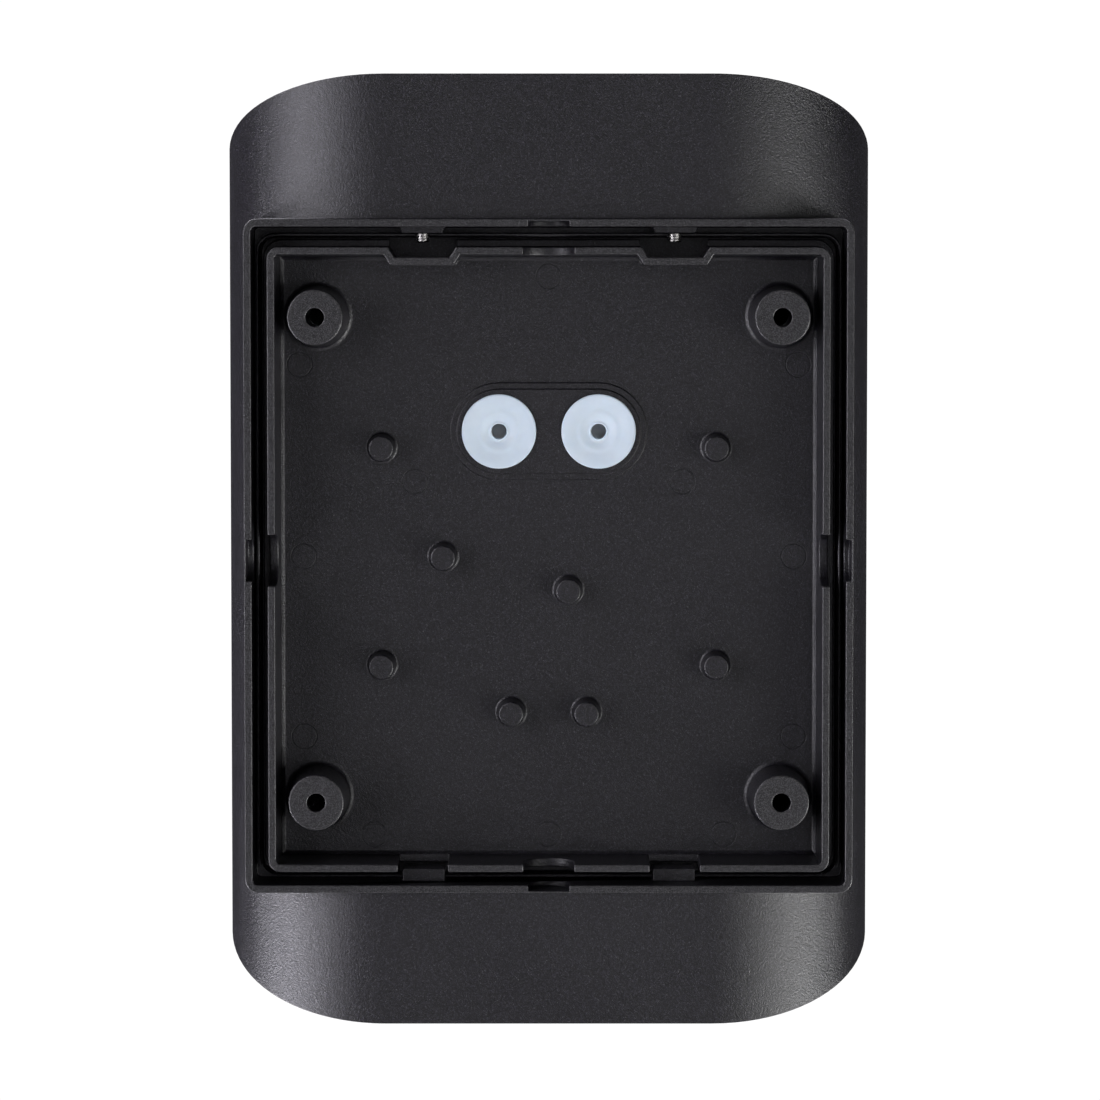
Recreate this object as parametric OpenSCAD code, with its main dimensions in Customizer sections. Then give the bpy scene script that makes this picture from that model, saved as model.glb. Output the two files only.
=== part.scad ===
// Up-and-down outdoor wall light: a wall tray with its gear, under a lift-off hood.
// The origin is the centre of the four wall-screw holes, on the wall plane.
// +Z is up, the wall is the plane y = 0, and the light stands out from it towards -Y.
// Depths in this file are distances from the wall, so a depth d lies at y = -d.

/* [Hood] */
// Width of the hood
hood_w = 172; // [143:1:207]
// Height of the hood at its back
hood_h = 250; // [208:1:300]
// Depth of the hood, back to front
hood_d = 97; // [80:1:117]
// Radius of the four upright corners
hood_corner = 43; // [20:1:43]
// Thickness of the hood's walls
hood_wall = 3; // [2:0.1:4]
// Thickness of the sloping top and bottom ends
end_wall = 3; // [2:0.1:4]
// Slope of the top and bottom ends
end_slope = 25; // [10:1:28]
// Air gap between the hood's back and the wall
hood_gap = 3; // [1:0.1:5]

/* [Skirt] */
// Distance from the hood's side to the skirt's side
skirt_inset = 6.2; // [5:0.1:8]
// Distance from the hood's top edge down to the skirt
skirt_below_top = 38; // [34:0.1:46]
// Distance from the hood's bottom edge up to the skirt
skirt_above_bottom = 35.2; // [32:0.1:43]
// Thickness of the skirt
skirt_wall = 2; // [1.5:0.1:3]
// Radius of the skirt's outside corners
skirt_corner = 3.5; // [3:0.1:6]
// Width of the cable knock-outs in the skirt
knockout_w = 10.8; // [8:0.1:14]
// Depth of the cable knock-outs
knockout_d = 11; // [9:0.1:13]
// Skin left in a knock-out
knockout_skin = 0.5; // [0.4:0.05:0.8]

/* [Tray] */
// Gap between the skirt and the tray's rim at the sides
gap_side = 4.15; // [3.8:0.05:5]
// Gap between the skirt and the tray's rim at the top
gap_top = 5.3; // [4.8:0.05:6.5]
// Gap between the skirt and the tray's rim at the bottom
gap_bottom = 3.5; // [3.2:0.05:4.3]
// Thickness of the tray's rim
rim_wall = 2; // [1.6:0.1:2.4]
// Radius of the rim's outside corners
rim_corner = 3.2; // [3:0.1:5]
// Depth of the tray from the wall to its floor
tray_depth = 19; // [16:0.5:22]
// Thickness of the tray's floor
floor_wall = 2.5; // [2:0.1:3.5]
// Width of the flange outside the rim
flange = 2; // [1.5:0.1:2.2]
// Lean of the rim's inside faces over their depth
rim_draft = 0.5; // [0.1:0.1:0.8]
// Width of the half-round cable notches in the rim
notch_w = 13.4; // [11:0.1:16]
// Depth of the half-round cable notches
notch_d = 12.2; // [10:0.1:14]

/* [Wall fixing] */
// Distance of the wall holes from the rim's sides
pillar_inset_x = 12.55; // [12:0.05:16]
// Distance of the wall holes from the rim's top and bottom
pillar_inset_z = 18.35; // [13:0.05:22]
// Radius of a wall-screw hole
wall_hole_r = 2.4; // [2:0.1:3]
// Radius of a pillar at the wall
pillar_r = 7.3; // [6:0.1:8]
// Radius of a pillar's foot
pillar_foot_r = 9.5; // [8.5:0.1:10]

/* [Bosses] */
// Distance of the gear bosses from the rim's sides
gear_boss_x = 29.35; // [27:0.05:34]
// Distance of the gear bosses from the rim's top and bottom
gear_boss_z = 53.1; // [50:0.1:56]
// Distance of the terminal bosses from the rim's bottom
terminal_boss_z = 40.6; // [38:0.1:42]
// Spacing of the two terminal bosses
terminal_pitch = 20; // [18:0.5:22]
// Radius of a boss at its end
boss_r = 3.3; // [3:0.1:3.6]
// Radius of a boss's foot
boss_foot_r = 4.45; // [4.2:0.05:5]
// Height of the bosses
boss_h = 8; // [6:0.5:9]

/* [Cable entry] */
// Distance of the grommets from the rim's top
grommet_below_rim = 48.8; // [45:0.1:50]
// Spacing of the two grommets
grommet_pitch = 26.4; // [24:0.1:30]
// Radius of a grommet's flange
grommet_r = 9.9; // [8:0.1:11]
// Radius of a grommet's neck
grommet_neck_r = 8; // [6.5:0.1:8.4]
// Radius of the hole in a grommet
cable_r = 2; // [1.5:0.1:3]
// Margin of the raised pad round the grommets
pad_margin = 2.95; // [2:0.05:4]

/* [Hood lock] */
// Distance of the lock screws and the hook tabs from the middle
lock_x = 33.1; // [28:0.1:36]
// Distance of the lock screws from the wall
lock_depth = 10.5; // [9:0.1:12]
// Radius of a lock screw
lock_r = 2; // [1.5:0.1:2.5]
// Length of a lock screw under its head
lock_length = 25; // [20:1:28]
// Thread left showing under the boss
lock_reach = 2.4; // [1:0.1:3]
// Width of the flat of the rim's jog
jog_flat = 14.4; // [12:0.1:18]
// Width of the mouth of the rim's jog
jog_mouth = 17.8; // [15:0.1:22]
// Depth of the rim's jog
jog_step = 2.7; // [2:0.1:3]
// Width of a hook tab
tab_w = 11.2; // [8:0.1:12]
// Height of a hook tab
tab_h = 3.4; // [2:0.1:3.4]
// Width of the slots in the rim for the hook tabs
tab_slot_w = 13.2; // [12.5:0.1:15]

/* [Gear] */
// Distance from the rim's top to the lamp shelves
shelf_below_rim = 32; // [31:0.5:36]
// Depth of the wiring space behind the bracket
wiring_space = 24.5; // [22:0.5:28]
// Thickness of the bracket's sheet
sheet = 2; // [1.5:0.1:2.5]
// Length of the driver
driver_l = 70; // [50:1:74]
// Height of the driver
driver_h = 28; // [20:1:34]
// Thickness of the driver
driver_t = 22; // [16:1:24]
// Thickness of a lamp board
board_t = 1.6; // [1:0.1:2]
// Lamps in each row of a board
lamps_per_row = 6; // [4:1:6]
// Height of a reflector
reflector_h = 20; // [14:1:22]

/* [Glass] */
// Thickness of the glass
glass_t = 4; // [3:0.5:5]
// Width of the hood's end left beside a window
window_side = 32; // [30:1:36]
// Length of the hood's end left behind a window
window_back = 26; // [24:1:32]
// Length of the hood's end left in front of a window
window_front = 22; // [20:1:26]
// Lap of the glass past the window all round
glass_lap = 5; // [4:0.5:6]

/* [Screws] */
// Radius of the small screws
screw_r = 1.5; // [1.2:0.05:1.6]
// Radius of the small screws' heads
head_r = 2.8; // [2.4:0.1:3]
// Height of the small screws' heads
head_h = 2; // [1.6:0.1:2.4]

/* [Hidden] */
$fn = 96;

past = 1;              // how far a cut runs past the face that it opens
run_clear = 0.05;      // radial clearance of a screw in its hole
seat_gap = 0.02;       // air left where two sloping faces seat
seal_gap = 0.3;        // air left between the tray's seal and the hood
lip_gap = 0.7;         // air between the flange and the hood's lip

// Skirt, rim and hood, worked out from the outside inwards
skirt_w = hood_w - 2 * skirt_inset;
rim_w = skirt_w - 2 * skirt_wall - 2 * gap_side;
rim_h = hood_h - skirt_below_top - skirt_above_bottom - 2 * skirt_wall - gap_top - gap_bottom;
skirt_in_top = rim_h / 2 + gap_top;
skirt_in_bottom = -rim_h / 2 - gap_bottom;
skirt_mid = (skirt_in_top + skirt_in_bottom) / 2;
skirt_in_w = skirt_w - 2 * skirt_wall;
skirt_in_h = skirt_in_top - skirt_in_bottom;
skirt_in_corner = skirt_corner - skirt_wall;
hood_top = skirt_in_top + skirt_wall + skirt_below_top;
hood_bottom = skirt_in_bottom - skirt_wall - skirt_above_bottom;
hood_mid = (hood_top + hood_bottom) / 2;
hood_r = min(hood_corner, hood_d / 2 - 1, hood_w / 2 - 1);
hood_front = hood_gap + hood_d;
end_length = hood_d / cos(end_slope);

// Tray
floor_back = tray_depth;
floor_front = tray_depth + floor_wall;
flange_w = rim_w + 2 * flange;
flange_h = rim_h + 2 * flange;
wall_hole_x = rim_w / 2 - pillar_inset_x;
wall_hole_z = rim_h / 2 - pillar_inset_z;
foot_fillet = 1.4;
gear_x = rim_w / 2 - gear_boss_x;
gear_z = rim_h / 2 - gear_boss_z;
terminal_z = -(rim_h / 2 - terminal_boss_z);
earth_points = [[28, 0], [-5.2, -8.9]];
gear_points = [for (sx = [-1, 1], sz = [-1, 1]) [sx * gear_x, sz * gear_z]];
terminal_points = [for (sx = [-1, 1]) [sx * terminal_pitch / 2, terminal_z]];
boss_points = concat(gear_points, terminal_points, earth_points);
boss_cap = 2;          // metal left between a screw hole and the end of its boss
pin_mark_r = 3.3;
pin_mark_w = 0.3;
pin_mark_deep = 0.15;
pin_marks = [for (s = [-1, 1], p = [
    [0, rim_h / 2 - 7.7], [0, 7.8 - rim_h / 2],
    [rim_w / 2 - 7.6, rim_h / 2 - 31.1], [35.5, rim_h / 2 - 62.1],
    [rim_w / 2 - 8.6, 0], [rim_w / 2 - 8.6, 34 - rim_h / 2], [rim_w / 2 - 27.1, 7.8 - rim_h / 2]
]) if (s > 0 || p[0] > 0) [s * p[0], p[1]]];

// Cable entry
grommet_z = rim_h / 2 - grommet_below_rim;
pad_step = 0.5;
pad_rise = 1;
pad_ledge = 1.65;
pad_h = 2 * (grommet_r + pad_margin);
pad_w = grommet_pitch + pad_h;
grommet_flange = 1;
grommet_lip_r = grommet_neck_r + 1.4;
neck_clear = 0.05;

// Sealing face between tray and hood
seal_t = 1.9;
seal_w = 2.5;
seal_inset_x = 0.6;
seal_inset_z = 3.4;
seal_out_w = rim_w - 2 * seal_inset_x;
seal_out_h = rim_h - 2 * seal_inset_z;
seal_r = 4;
ledge_back = floor_front + seal_t + seal_gap;
ledge_t = 2.5;
ledge_front = ledge_back + ledge_t;
ledge_open_w = seal_out_w - 2 * seal_w - 0.4;
ledge_open_h = seal_out_h - 2 * seal_w - 0.4;
lip_w = flange_w + 2 * lip_gap;
lip_h = flange_h + 2 * lip_gap;
lip_r = 4;
lip_back = tray_depth - 1;
bead_w = 0.75;
bead_back = 12;

// Lock
screw_boss_drop = 1.7;
screw_boss_w = 12;
screw_boss_flat = 10.5;
screw_boss_back = 5;
screw_boss_front = 16;
lock_head_r = 3.5;
lock_head_h = 4;
lock_tip = skirt_in_top - screw_boss_drop - lock_reach;
lock_seat = skirt_in_top + skirt_wall + 10;
column_wall = 2;
counterbore_r = lock_head_r + 0.3;
column_r = counterbore_r + column_wall;
plug_clear = 0.1;
plug_l = 8;
plug_cap_r = 5.3;
plug_cap_t = 0.9;
plug_lift = 0.05;
tab_back = 9;
tab_front = tray_depth - 1.5;
tab_slot_floor = 1;
tab_clear = 0.5;

// Gear
bracket_back = floor_front + wiring_space - sheet;
bracket_front = floor_front + wiring_space;
shelf_z = rim_h / 2 - shelf_below_rim;
leg_out = gear_x + 7.7;
leg_w = 14;
shelf_end = hood_front - hood_wall - 9;
board_back = bracket_front + 6;
board_front = shelf_end - 6;
board_mid = (board_back + board_front) / 2;
board_half = leg_out - 10;
board_screw_x = board_half - 3.5;
lamp = 3.5;
lamp_h = 0.9;
lamp_pitch = 10;
lamp_rows = 2;
lamp_row_gap = 11;
reflector_wall = 1.5;
reflector_foot = [lamp_pitch * lamps_per_row + 2, lamp_row_gap + 11];
reflector_flare = [14, 6];
ear = 10;
ear_t = 2;
driver_screw_x = driver_l / 2 + ear / 2;
wire_hole_r = 4;
wire_hole_x = leg_out - 6;
wire_hole_z = -driver_h / 2 - 6;
driver_lead_depth = bracket_front + 10;
driver_lead_z = 4;
block_l = 46;
block_h = 16;
block_t = 16;
pole_x = 17;
clamp_screw_r = 2;
clamp_screw_z = 4.4;
clamp_entry_r = 1.6;
clamp_depth = floor_front + 5;
lug_r = 4.4;
lug_t = 0.8;
lug_tail = 9;
lug_barrel_depth = 1.7;

// Glass, in the sloping frame of an end: x across, u forwards down the slope, w out of the hood
window_w = hood_w - 2 * window_side;
window_l = end_length - window_back - window_front;
window_mid = window_back + window_l / 2;
window_r = 10;
glass_w = window_w + 2 * glass_lap;
glass_l = window_l + 2 * glass_lap;
glass_r = window_r + glass_lap;
glass_seal_t = 0.8;
glass_in = end_wall + glass_seal_t;
frame_in = glass_in + glass_t;
frame_t = 1.5;
frame_boss_r = 4;
frame_boss_x = glass_w / 2 + frame_boss_r + 0.5;
frame_margin = 9;
frame_screw_l = 5;
frame_boss_points = [for (sx = [-1, 1], k = [-1, 0, 1])
    [sx * frame_boss_x, window_mid + k * (window_l / 2 - 8)]];

// Leads: the points of each route are x, depth and z
lead_r = 1;

coat = [0.09, 0.09, 0.1];

// A rounded rectangle, centred
module rounded(w, h, r) {
    square([w - 2 * r, h], center = true);
    square([w, h - 2 * r], center = true);
    for (sx = [-1, 1], sy = [-1, 1])
        translate([sx * (w / 2 - r), sy * (h / 2 - r)]) circle(r);
}

// A flat shape drawn in x and z, made solid from depth d0 to depth d1
module slab(d0, d1)
    translate([0, -d0, 0]) rotate([90, 0, 0]) linear_extrude(d1 - d0) children();

// A turned shape whose axis runs away from the wall at x, z: the profile is radius, depth
module turned(x, z)
    translate([x, 0, z]) rotate([90, 0, 0]) rotate_extrude() children();

// A half-round-ended cut of width w and depth d from the wall plane, seen along x
module u_cut(w, d) {
    translate([-w / 2, -d + w / 2]) square([w, d - w / 2 + past]);
    translate([0, -d + w / 2]) circle(w / 2);
}

// Runs a cut that is drawn across and along the depth through an upright wall from z0 to z1
module through_z(z0, z1)
    translate([0, 0, z0]) linear_extrude(z1 - z0) children();

// The same through a side wall, from x0 to x1
module through_x(x0, x1)
    translate([x0, 0, 0]) rotate([90, 0, 90]) linear_extrude(x1 - x0) rotate(-90) children();

// Puts children in the sloping frame of the top end, or mirrored onto the bottom end
module at_end(upper) {
    if (upper)
        translate([0, -hood_gap, hood_top]) rotate([end_slope, 0, 0]) children();
    else
        translate([0, 0, 2 * hood_mid]) mirror([0, 0, 1]) at_end(true) children();
}

// A flat shape of an end, centred on the window, from w0 out to w1
module end_slab(w0, w1)
    translate([0, -window_mid, w0]) linear_extrude(w1 - w0) children();

// A pan-head screw that points along -Z from the underside of its head
module pan_screw(length) {
    translate([0, 0, -length]) cylinder(h = length, r = screw_r);
    difference() {
        cylinder(h = head_h, r = head_r);
        for (a = [0, 90]) rotate(a)
            translate([-head_r * 0.55, -0.35, head_h / 2]) cube([head_r * 1.1, 0.7, head_h]);
    }
}

// A tube along a chain of points, with a ring of 8 points at each
function unit(v) = v / norm(v);
function run(p, i) = unit(p[min(i + 1, len(p) - 1)] - p[max(i - 1, 0)]);
function aside(t) = unit(cross(t, abs(t[2]) < 0.8 ? [0, 0, 1] : [1, 0, 0]));
function ring(c, t, r) = let (a = aside(t), b = cross(t, a))
    [for (k = [0 : 7]) c + r * (cos(45 * k) * a + sin(45 * k) * b)];

// A point of the smooth curve through the chain, at i and a share s of the way on
function smooth(p, i, s) = let (n = len(p) - 1,
        a = p[max(i - 1, 0)], b = p[i], c = p[i + 1], d = p[min(i + 2, n)])
    0.5 * (2 * b + (c - a) * s + (2 * a - 5 * b + 4 * c - d) * s * s
        + (3 * b - a - 3 * c + d) * s * s * s);
function curve(p) = concat([for (i = [0 : len(p) - 2], k = [0 : 3]) smooth(p, i, k / 4)], [p[len(p) - 1]]);

module lead(route) {
    path = curve([for (q = route) [q[0], -q[1], q[2]]]);
    n = len(path);
    rings = [for (i = [0 : n - 1]) ring(path[i], run(path, i), lead_r)];
    polyhedron(
        points = [for (r = rings, q = r) q],
        faces = concat(
            [[for (k = [7 : -1 : 0]) k], [for (k = [0 : 7]) 8 * (n - 1) + k]],
            [for (i = [0 : n - 2], k = [0 : 7]) let (a = 8 * i + k, b = 8 * i + (k + 1) % 8)
                each [[a, b, b + 8], [a, b + 8, a + 8]]]));
}

// A round boss that stands on the tray's floor towards the wall, with a filleted foot
module boss(x, z, height, r, foot, fillet) {
    top = floor_back - height;
    turned(x, z) polygon(concat(
        [[0, top], [r - 0.3, top], [r, top + 0.3]],
        [for (a = [180 : -18 : 90]) [foot + fillet * cos(a), floor_back + fillet * (sin(a) - 1)]],
        [[foot, floor_back + 1], [0, floor_back + 1]]));
}

// The leaning inside face of one side of the rim, with the small chamfer at its foot
module rim_foot(half, length) {
    chamfer = 1;
    translate([0, 0, -length / 2]) linear_extrude(length) polygon([
        [half + 1, 0], [half, 0], [half - rim_draft, -floor_back + chamfer],
        [half - rim_draft - chamfer, -floor_back], [half - rim_draft - chamfer, -floor_back - 1],
        [half + 1, -floor_back - 1]]);
}

// The outline of a jog in the rim: the cut, or the wall round it
module jog(x, thick) {
    lean = (jog_mouth - jog_flat) / 2 / jog_step;
    side = thick * sqrt(1 + lean * lean);
    deep = jog_step + thick;
    mouth = jog_mouth / 2 + side;
    flat_half = mouth - deep * lean;
    top = rim_h / 2;
    over = thick > 0 ? 0 : flange + past;
    for (s = [-1, 1]) translate([s * x, 0]) polygon([
        [-mouth, top + over], [-mouth, top], [-flat_half, top - deep],
        [flat_half, top - deep], [mouth, top], [mouth, top + over]]);
}

module stadium(w, h) {
    square([w - h, h], center = true);
    for (s = [-1, 1]) translate([s * (w - h) / 2, 0]) circle(h / 2);
}

module tray_rim() {
    difference() {
        slab(0, floor_back + 1) rounded(rim_w, rim_h, rim_corner);
        slab(-past, floor_back + 2)
            rounded(rim_w - 2 * rim_wall, rim_h - 2 * rim_wall, rim_corner - rim_wall);
    }
    for (a = [0, 180]) rotate([0, a, 0]) rim_foot(rim_w / 2 - rim_wall, rim_h - 2 * rim_wall);
    for (a = [90, 270]) rotate([0, a, 0]) rim_foot(rim_h / 2 - rim_wall, rim_w - 2 * rim_wall);
    slab(0, floor_back + 1) jog(lock_x, rim_wall);
}

module tray_cuts() {
    // jogs for the lock screws, cut through the flange as well
    slab(-past, floor_front + past) jog(lock_x, 0);
    // cable notches in the four sides
    for (s = [-1, 1]) {
        through_z(s * (rim_h / 2 - rim_wall / 2) - 3, s * (rim_h / 2 - rim_wall / 2) + 3)
            u_cut(notch_w, notch_d);
        through_x(s * (rim_w / 2 - rim_wall / 2) - 3, s * (rim_w / 2 - rim_wall / 2) + 3)
            u_cut(notch_w, notch_d);
    }
    // slots for the hook tabs, and the way through the flange that the tabs take
    for (s = [-1, 1]) translate([s * lock_x, 0, -rim_h / 2]) {
        slab(-past, floor_back - tab_slot_floor) square([tab_slot_w, 6], center = true);
        slab(-past, floor_front + past) translate([-tab_slot_w / 2, -flange - past])
            square([tab_slot_w, flange + past + tab_clear - (rim_h / 2 + tab_top())]);
    }
    for (sx = [-1, 1], sz = [-1, 1]) translate([sx * wall_hole_x, 0, sz * wall_hole_z])
        slab(-past, floor_front + past) circle(wall_hole_r);
    for (p = boss_points) translate([p[0], 0, p[1]])
        slab(floor_back - boss_h + boss_cap, floor_front + past) circle(screw_r + run_clear);
    for (s = [-1, 1]) translate([s * grommet_pitch / 2, 0, grommet_z])
        slab(floor_back - pad_rise - past, floor_front + past) circle(grommet_neck_r + neck_clear);
    for (p = pin_marks) translate([p[0], 0, p[1]])
        slab(floor_back - past, floor_back + pin_mark_deep) difference() {
            circle(pin_mark_r + pin_mark_w / 2);
            circle(pin_mark_r - pin_mark_w / 2);
        }
}

function tab_top() = skirt_in_bottom + tab_h;

module wall_tray() color(coat) difference() {
    union() {
        slab(floor_back, floor_front) rounded(flange_w, flange_h, rim_corner + flange);
        tray_rim();
        for (sx = [-1, 1], sz = [-1, 1])
            boss(sx * wall_hole_x, sz * wall_hole_z, floor_back, pillar_r, pillar_foot_r, foot_fillet);
        for (p = boss_points) boss(p[0], p[1], boss_h, boss_r, boss_foot_r, 0.8);
        translate([0, 0, grommet_z]) {
            slab(floor_back - pad_step, floor_back + 1) stadium(pad_w, pad_h);
            slab(floor_back - pad_rise, floor_back + 1)
                stadium(pad_w - 2 * pad_ledge, pad_h - 2 * pad_ledge);
        }
    }
    tray_cuts();
}

// A silicone cable grommet: a flange on the pad, a neck through the floor and a funnel to the hole
module cable_grommet(side) {
    pad_face = floor_back - pad_rise;
    back = pad_face - grommet_flange;
    nose = floor_front + 2.1;
    color([0.86, 0.91, 0.95]) turned(side * grommet_pitch / 2, grommet_z) polygon([
        [cable_r, back + 3.9], [cable_r + 0.7, back + 3.2], [grommet_neck_r - 1.6, back + 0.7],
        [grommet_neck_r - 0.9, back], [grommet_r - 0.3, back], [grommet_r, back + 0.3],
        [grommet_r, pad_face], [grommet_neck_r, pad_face], [grommet_neck_r, floor_front],
        [grommet_lip_r, floor_front], [grommet_lip_r, floor_front + 0.9],
        [cable_r + 1.6, nose], [cable_r, nose]]);
}

module cable_grommet_left() cable_grommet(-1);
module cable_grommet_right() cable_grommet(1);

module tray_seal() color([0.2, 0.2, 0.22]) slab(floor_front, floor_front + seal_t) difference() {
    rounded(seal_out_w, seal_out_h, seal_r);
    rounded(seal_out_w - 2 * seal_w, seal_out_h - 2 * seal_w, seal_r - seal_w);
}

module gear_bracket() color([0.72, 0.73, 0.75]) difference() {
    union() {
        slab(bracket_back, bracket_front) square([2 * leg_out, 2 * shelf_z], center = true);
        for (s = [-1, 1])
            slab(bracket_back, shelf_end) translate([0, s * (shelf_z - sheet / 2)])
                square([2 * leg_out, sheet], center = true);
        for (sx = [-1, 1], sz = [-1, 1]) translate([0, 0, sz * gear_z]) {
            slab(floor_front, bracket_front) translate([sx * (leg_out - sheet / 2), 0])
                square([sheet, leg_w], center = true);
            slab(floor_front, floor_front + sheet)
                translate([sx * (leg_out + gear_x - 6) / 2, 0])
                    square([leg_out - gear_x + 6, leg_w], center = true);
        }
    }
    for (p = gear_points) translate([p[0], 0, p[1]])
        slab(floor_front - past, floor_front + sheet + past) circle(screw_r + 0.2);
    for (s = [-1, 1]) translate([s * driver_screw_x, 0, 0])
        slab(bracket_back - past, bracket_front + past) circle(screw_r + run_clear);
    translate([-wire_hole_x, 0, wire_hole_z])
        slab(bracket_back - past, bracket_front + past) circle(wire_hole_r);
    for (s = [-1, 1]) translate([0, 0, s * (shelf_z - sheet / 2) - sheet]) {
        translate([wire_hole_x + 1, -driver_lead_depth, 0]) cylinder(h = 2 * sheet, r = 2.5);
        for (sx = [-1, 1]) translate([sx * board_screw_x, -board_mid, 0])
            cylinder(h = 2 * sheet, r = screw_r + run_clear);
    }
}

// A pan-head screw driven towards the wall, with the underside of its head at depth d
module wall_way_screw(x, z, d, length) translate([x, -d, z]) rotate([90, 0, 0]) pan_screw(length);

module gear_bracket_screws() color([0.78, 0.78, 0.76])
    for (p = gear_points) wall_way_screw(p[0], p[1], floor_front + sheet, 8);

module led_driver() color([0.93, 0.93, 0.92]) difference() {
    union() {
        slab(bracket_front, bracket_front + driver_t) rounded(driver_l, driver_h, 2.5);
        slab(bracket_front, bracket_front + ear_t) rounded(driver_l + 2 * ear, 14, 3);
    }
    for (s = [-1, 1]) {
        translate([s * driver_screw_x, 0, 0])
            slab(bracket_front - past, bracket_front + ear_t + past) circle(screw_r + 0.2);
        for (z = driver_lead_z * [-1, 1]) translate([s * (driver_l / 2 - 2), -driver_lead_depth, z])
            rotate([0, 90, 0]) cylinder(h = 8, r = lead_r + 0.3, center = true);
    }
}

module led_driver_screws() color([0.78, 0.78, 0.76])
    for (s = [-1, 1]) wall_way_screw(s * driver_screw_x, 0, bracket_front + ear_t, 6);

module terminal_block() color([0.9, 0.9, 0.88]) translate([0, 0, terminal_z]) difference() {
    slab(floor_front, floor_front + block_t) rounded(block_l, block_h, 1);
    for (s = [-1, 1]) translate([s * terminal_pitch / 2, 0, 0]) {
        slab(floor_front - past, floor_front + block_t) circle(screw_r + 0.2);
        slab(floor_front + 6, floor_front + block_t + past) circle(head_r + 0.3);
    }
    for (k = [-1, 0, 1]) translate([k * pole_x, 0, 0]) {
        for (s = [-1, 1]) translate([0, 0, s * clamp_screw_z])
            slab(floor_front + 8, floor_front + block_t + past) circle(clamp_screw_r + 0.1);
        translate([0, -clamp_depth, -block_h / 2 - past])
            cylinder(h = block_h + 2 * past, r = clamp_entry_r);
    }
}

module terminal_block_screws() color([0.78, 0.78, 0.76])
    for (p = terminal_points) wall_way_screw(p[0], p[1], floor_front + 6, 13.5);

module terminal_clamp_screws() color([0.78, 0.66, 0.36])
    for (k = [-1, 0, 1], s = [-1, 1]) translate([k * pole_x, 0, terminal_z + s * clamp_screw_z])
        difference() {
            slab(floor_front + 8.2, floor_front + block_t - 1.5) circle(clamp_screw_r);
            slab(floor_front + block_t - 2.5, floor_front + block_t) square([5, 0.6], center = true);
        }

module earth_lugs() color([0.8, 0.7, 0.4]) {
    p = earth_points[1];
    translate([p[0], 0, p[1]]) difference() {
        union() {
            slab(floor_front, floor_front + lug_t) circle(lug_r);
            slab(floor_front, floor_front + lug_t) translate([-1.6, -lug_tail]) square([3.2, lug_tail]);
            translate([0, -floor_front - lug_barrel_depth, -lug_tail - 5]) cylinder(h = 6, r = 1.7);
        }
        slab(floor_front - past, floor_front + lug_t + past) circle(screw_r + 0.2);
        translate([0, -floor_front - lug_barrel_depth, -lug_tail - 6])
            cylinder(h = 6, r = lead_r + run_clear);
    }
    q = earth_points[0];
    translate([q[0], 0, q[1]]) slab(floor_front, floor_front + lug_t) difference() {
        square(2 * lug_r, center = true);
        circle(screw_r + 0.2);
    }
}

module earth_screws() color([0.8, 0.7, 0.4])
    for (p = earth_points) wall_way_screw(p[0], p[1], floor_front + lug_t, 7);

// Puts children, drawn on the upper shelf, on the upper or the lower one
module on_shelf(upper) mirror([0, 0, upper ? 0 : 1]) translate([0, 0, shelf_z]) children();

module led_board(upper) color([0.95, 0.96, 0.95]) on_shelf(upper) difference() {
    translate([0, -board_mid, 0]) linear_extrude(board_t)
        rounded(2 * board_half, board_front - board_back, 2);
    for (sx = [-1, 1]) translate([sx * board_screw_x, -board_mid, -past])
        cylinder(h = board_t + 2 * past, r = screw_r + 0.2);
}

module upper_led_board() led_board(true);
module lower_led_board() led_board(false);

module led_chips(upper) color([0.98, 0.9, 0.45]) on_shelf(upper)
    for (i = [0 : lamps_per_row - 1], j = [0 : lamp_rows - 1])
        translate([(i - (lamps_per_row - 1) / 2) * lamp_pitch,
                   -board_mid + (j - (lamp_rows - 1) / 2) * lamp_row_gap, board_t + lamp_h / 2])
            cube([lamp, lamp, lamp_h], center = true);

module upper_led_chips() led_chips(true);
module lower_led_chips() led_chips(false);

module led_board_screws() color([0.78, 0.78, 0.76])
    for (upper = [true, false], sx = [-1, 1])
        on_shelf(upper) translate([sx * board_screw_x, -board_mid, board_t]) pan_screw(5);

// A funnel-shaped reflector that stands on a board round its lamps
module reflector(upper) color([0.96, 0.96, 0.96]) on_shelf(upper)
    translate([0, -board_mid, board_t]) difference() {
        funnel(reflector_wall, 0);
        funnel(0, 0.5);
    }

module funnel(grow, beyond) hull() {
    translate([0, 0, -beyond]) linear_extrude(0.01)
        square([reflector_foot[0] + 2 * grow, reflector_foot[1] + 2 * grow], center = true);
    translate([0, 0, reflector_h + beyond]) linear_extrude(0.01)
        square([reflector_foot[0] + reflector_flare[0] * 2 + 2 * grow,
                reflector_foot[1] + reflector_flare[1] * 2 + 2 * grow], center = true);
}

module upper_reflector() reflector(true);
module lower_reflector() reflector(false);

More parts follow.
